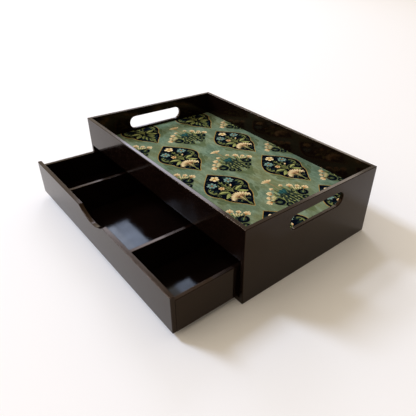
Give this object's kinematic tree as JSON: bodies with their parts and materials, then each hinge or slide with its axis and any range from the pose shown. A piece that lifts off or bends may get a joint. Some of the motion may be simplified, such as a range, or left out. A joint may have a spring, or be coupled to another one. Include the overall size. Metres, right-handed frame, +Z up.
{
  "type": "serving tray with drawer",
  "caption": "Rectangular lacquered tray with a printed floor, hand holes in both ends and a divided drawer that slides out below it.",
  "frame": {"origin": "centre of the underside of the case, which stands on the surface", "axes": "+X along the tray's length, -Y the side that the drawer opens towards, +Z up"},
  "size_m": [0.406, 0.348, 0.114],
  "materials": {
    "lacquered_board": "gloss",
    "printed_sheet": "satin",
    "brad_steel": "satin"
  },
  "bodies": {
    "case": {"left_end_panel": "lacquered_board", "right_end_panel": "lacquered_board", "rear_panel": "lacquered_board", "front_apron": "lacquered_board", "base_board": "lacquered_board", "tray_floor": "lacquered_board", "printed_panel": "printed_sheet", "left_end_brads": "brad_steel", "right_end_brads": "brad_steel", "rear_panel_brads": "brad_steel", "apron_brads": "brad_steel"},
    "drawer": {"drawer_front": "lacquered_board", "drawer_left_side": "lacquered_board", "drawer_right_side": "lacquered_board", "drawer_back": "lacquered_board", "drawer_left_divider": "lacquered_board", "drawer_right_divider": "lacquered_board", "drawer_floor": "lacquered_board", "drawer_front_brads": "brad_steel", "drawer_back_brads": "brad_steel", "drawer_left_side_brads": "brad_steel", "drawer_right_side_brads": "brad_steel"}
  },
  "joints": [
    {"name": "drawer_slide", "type": "slide", "parent": "case", "child": "drawer", "axis": [0, -1, 0], "range_m": [-0.094, 0.088]}
  ]
}
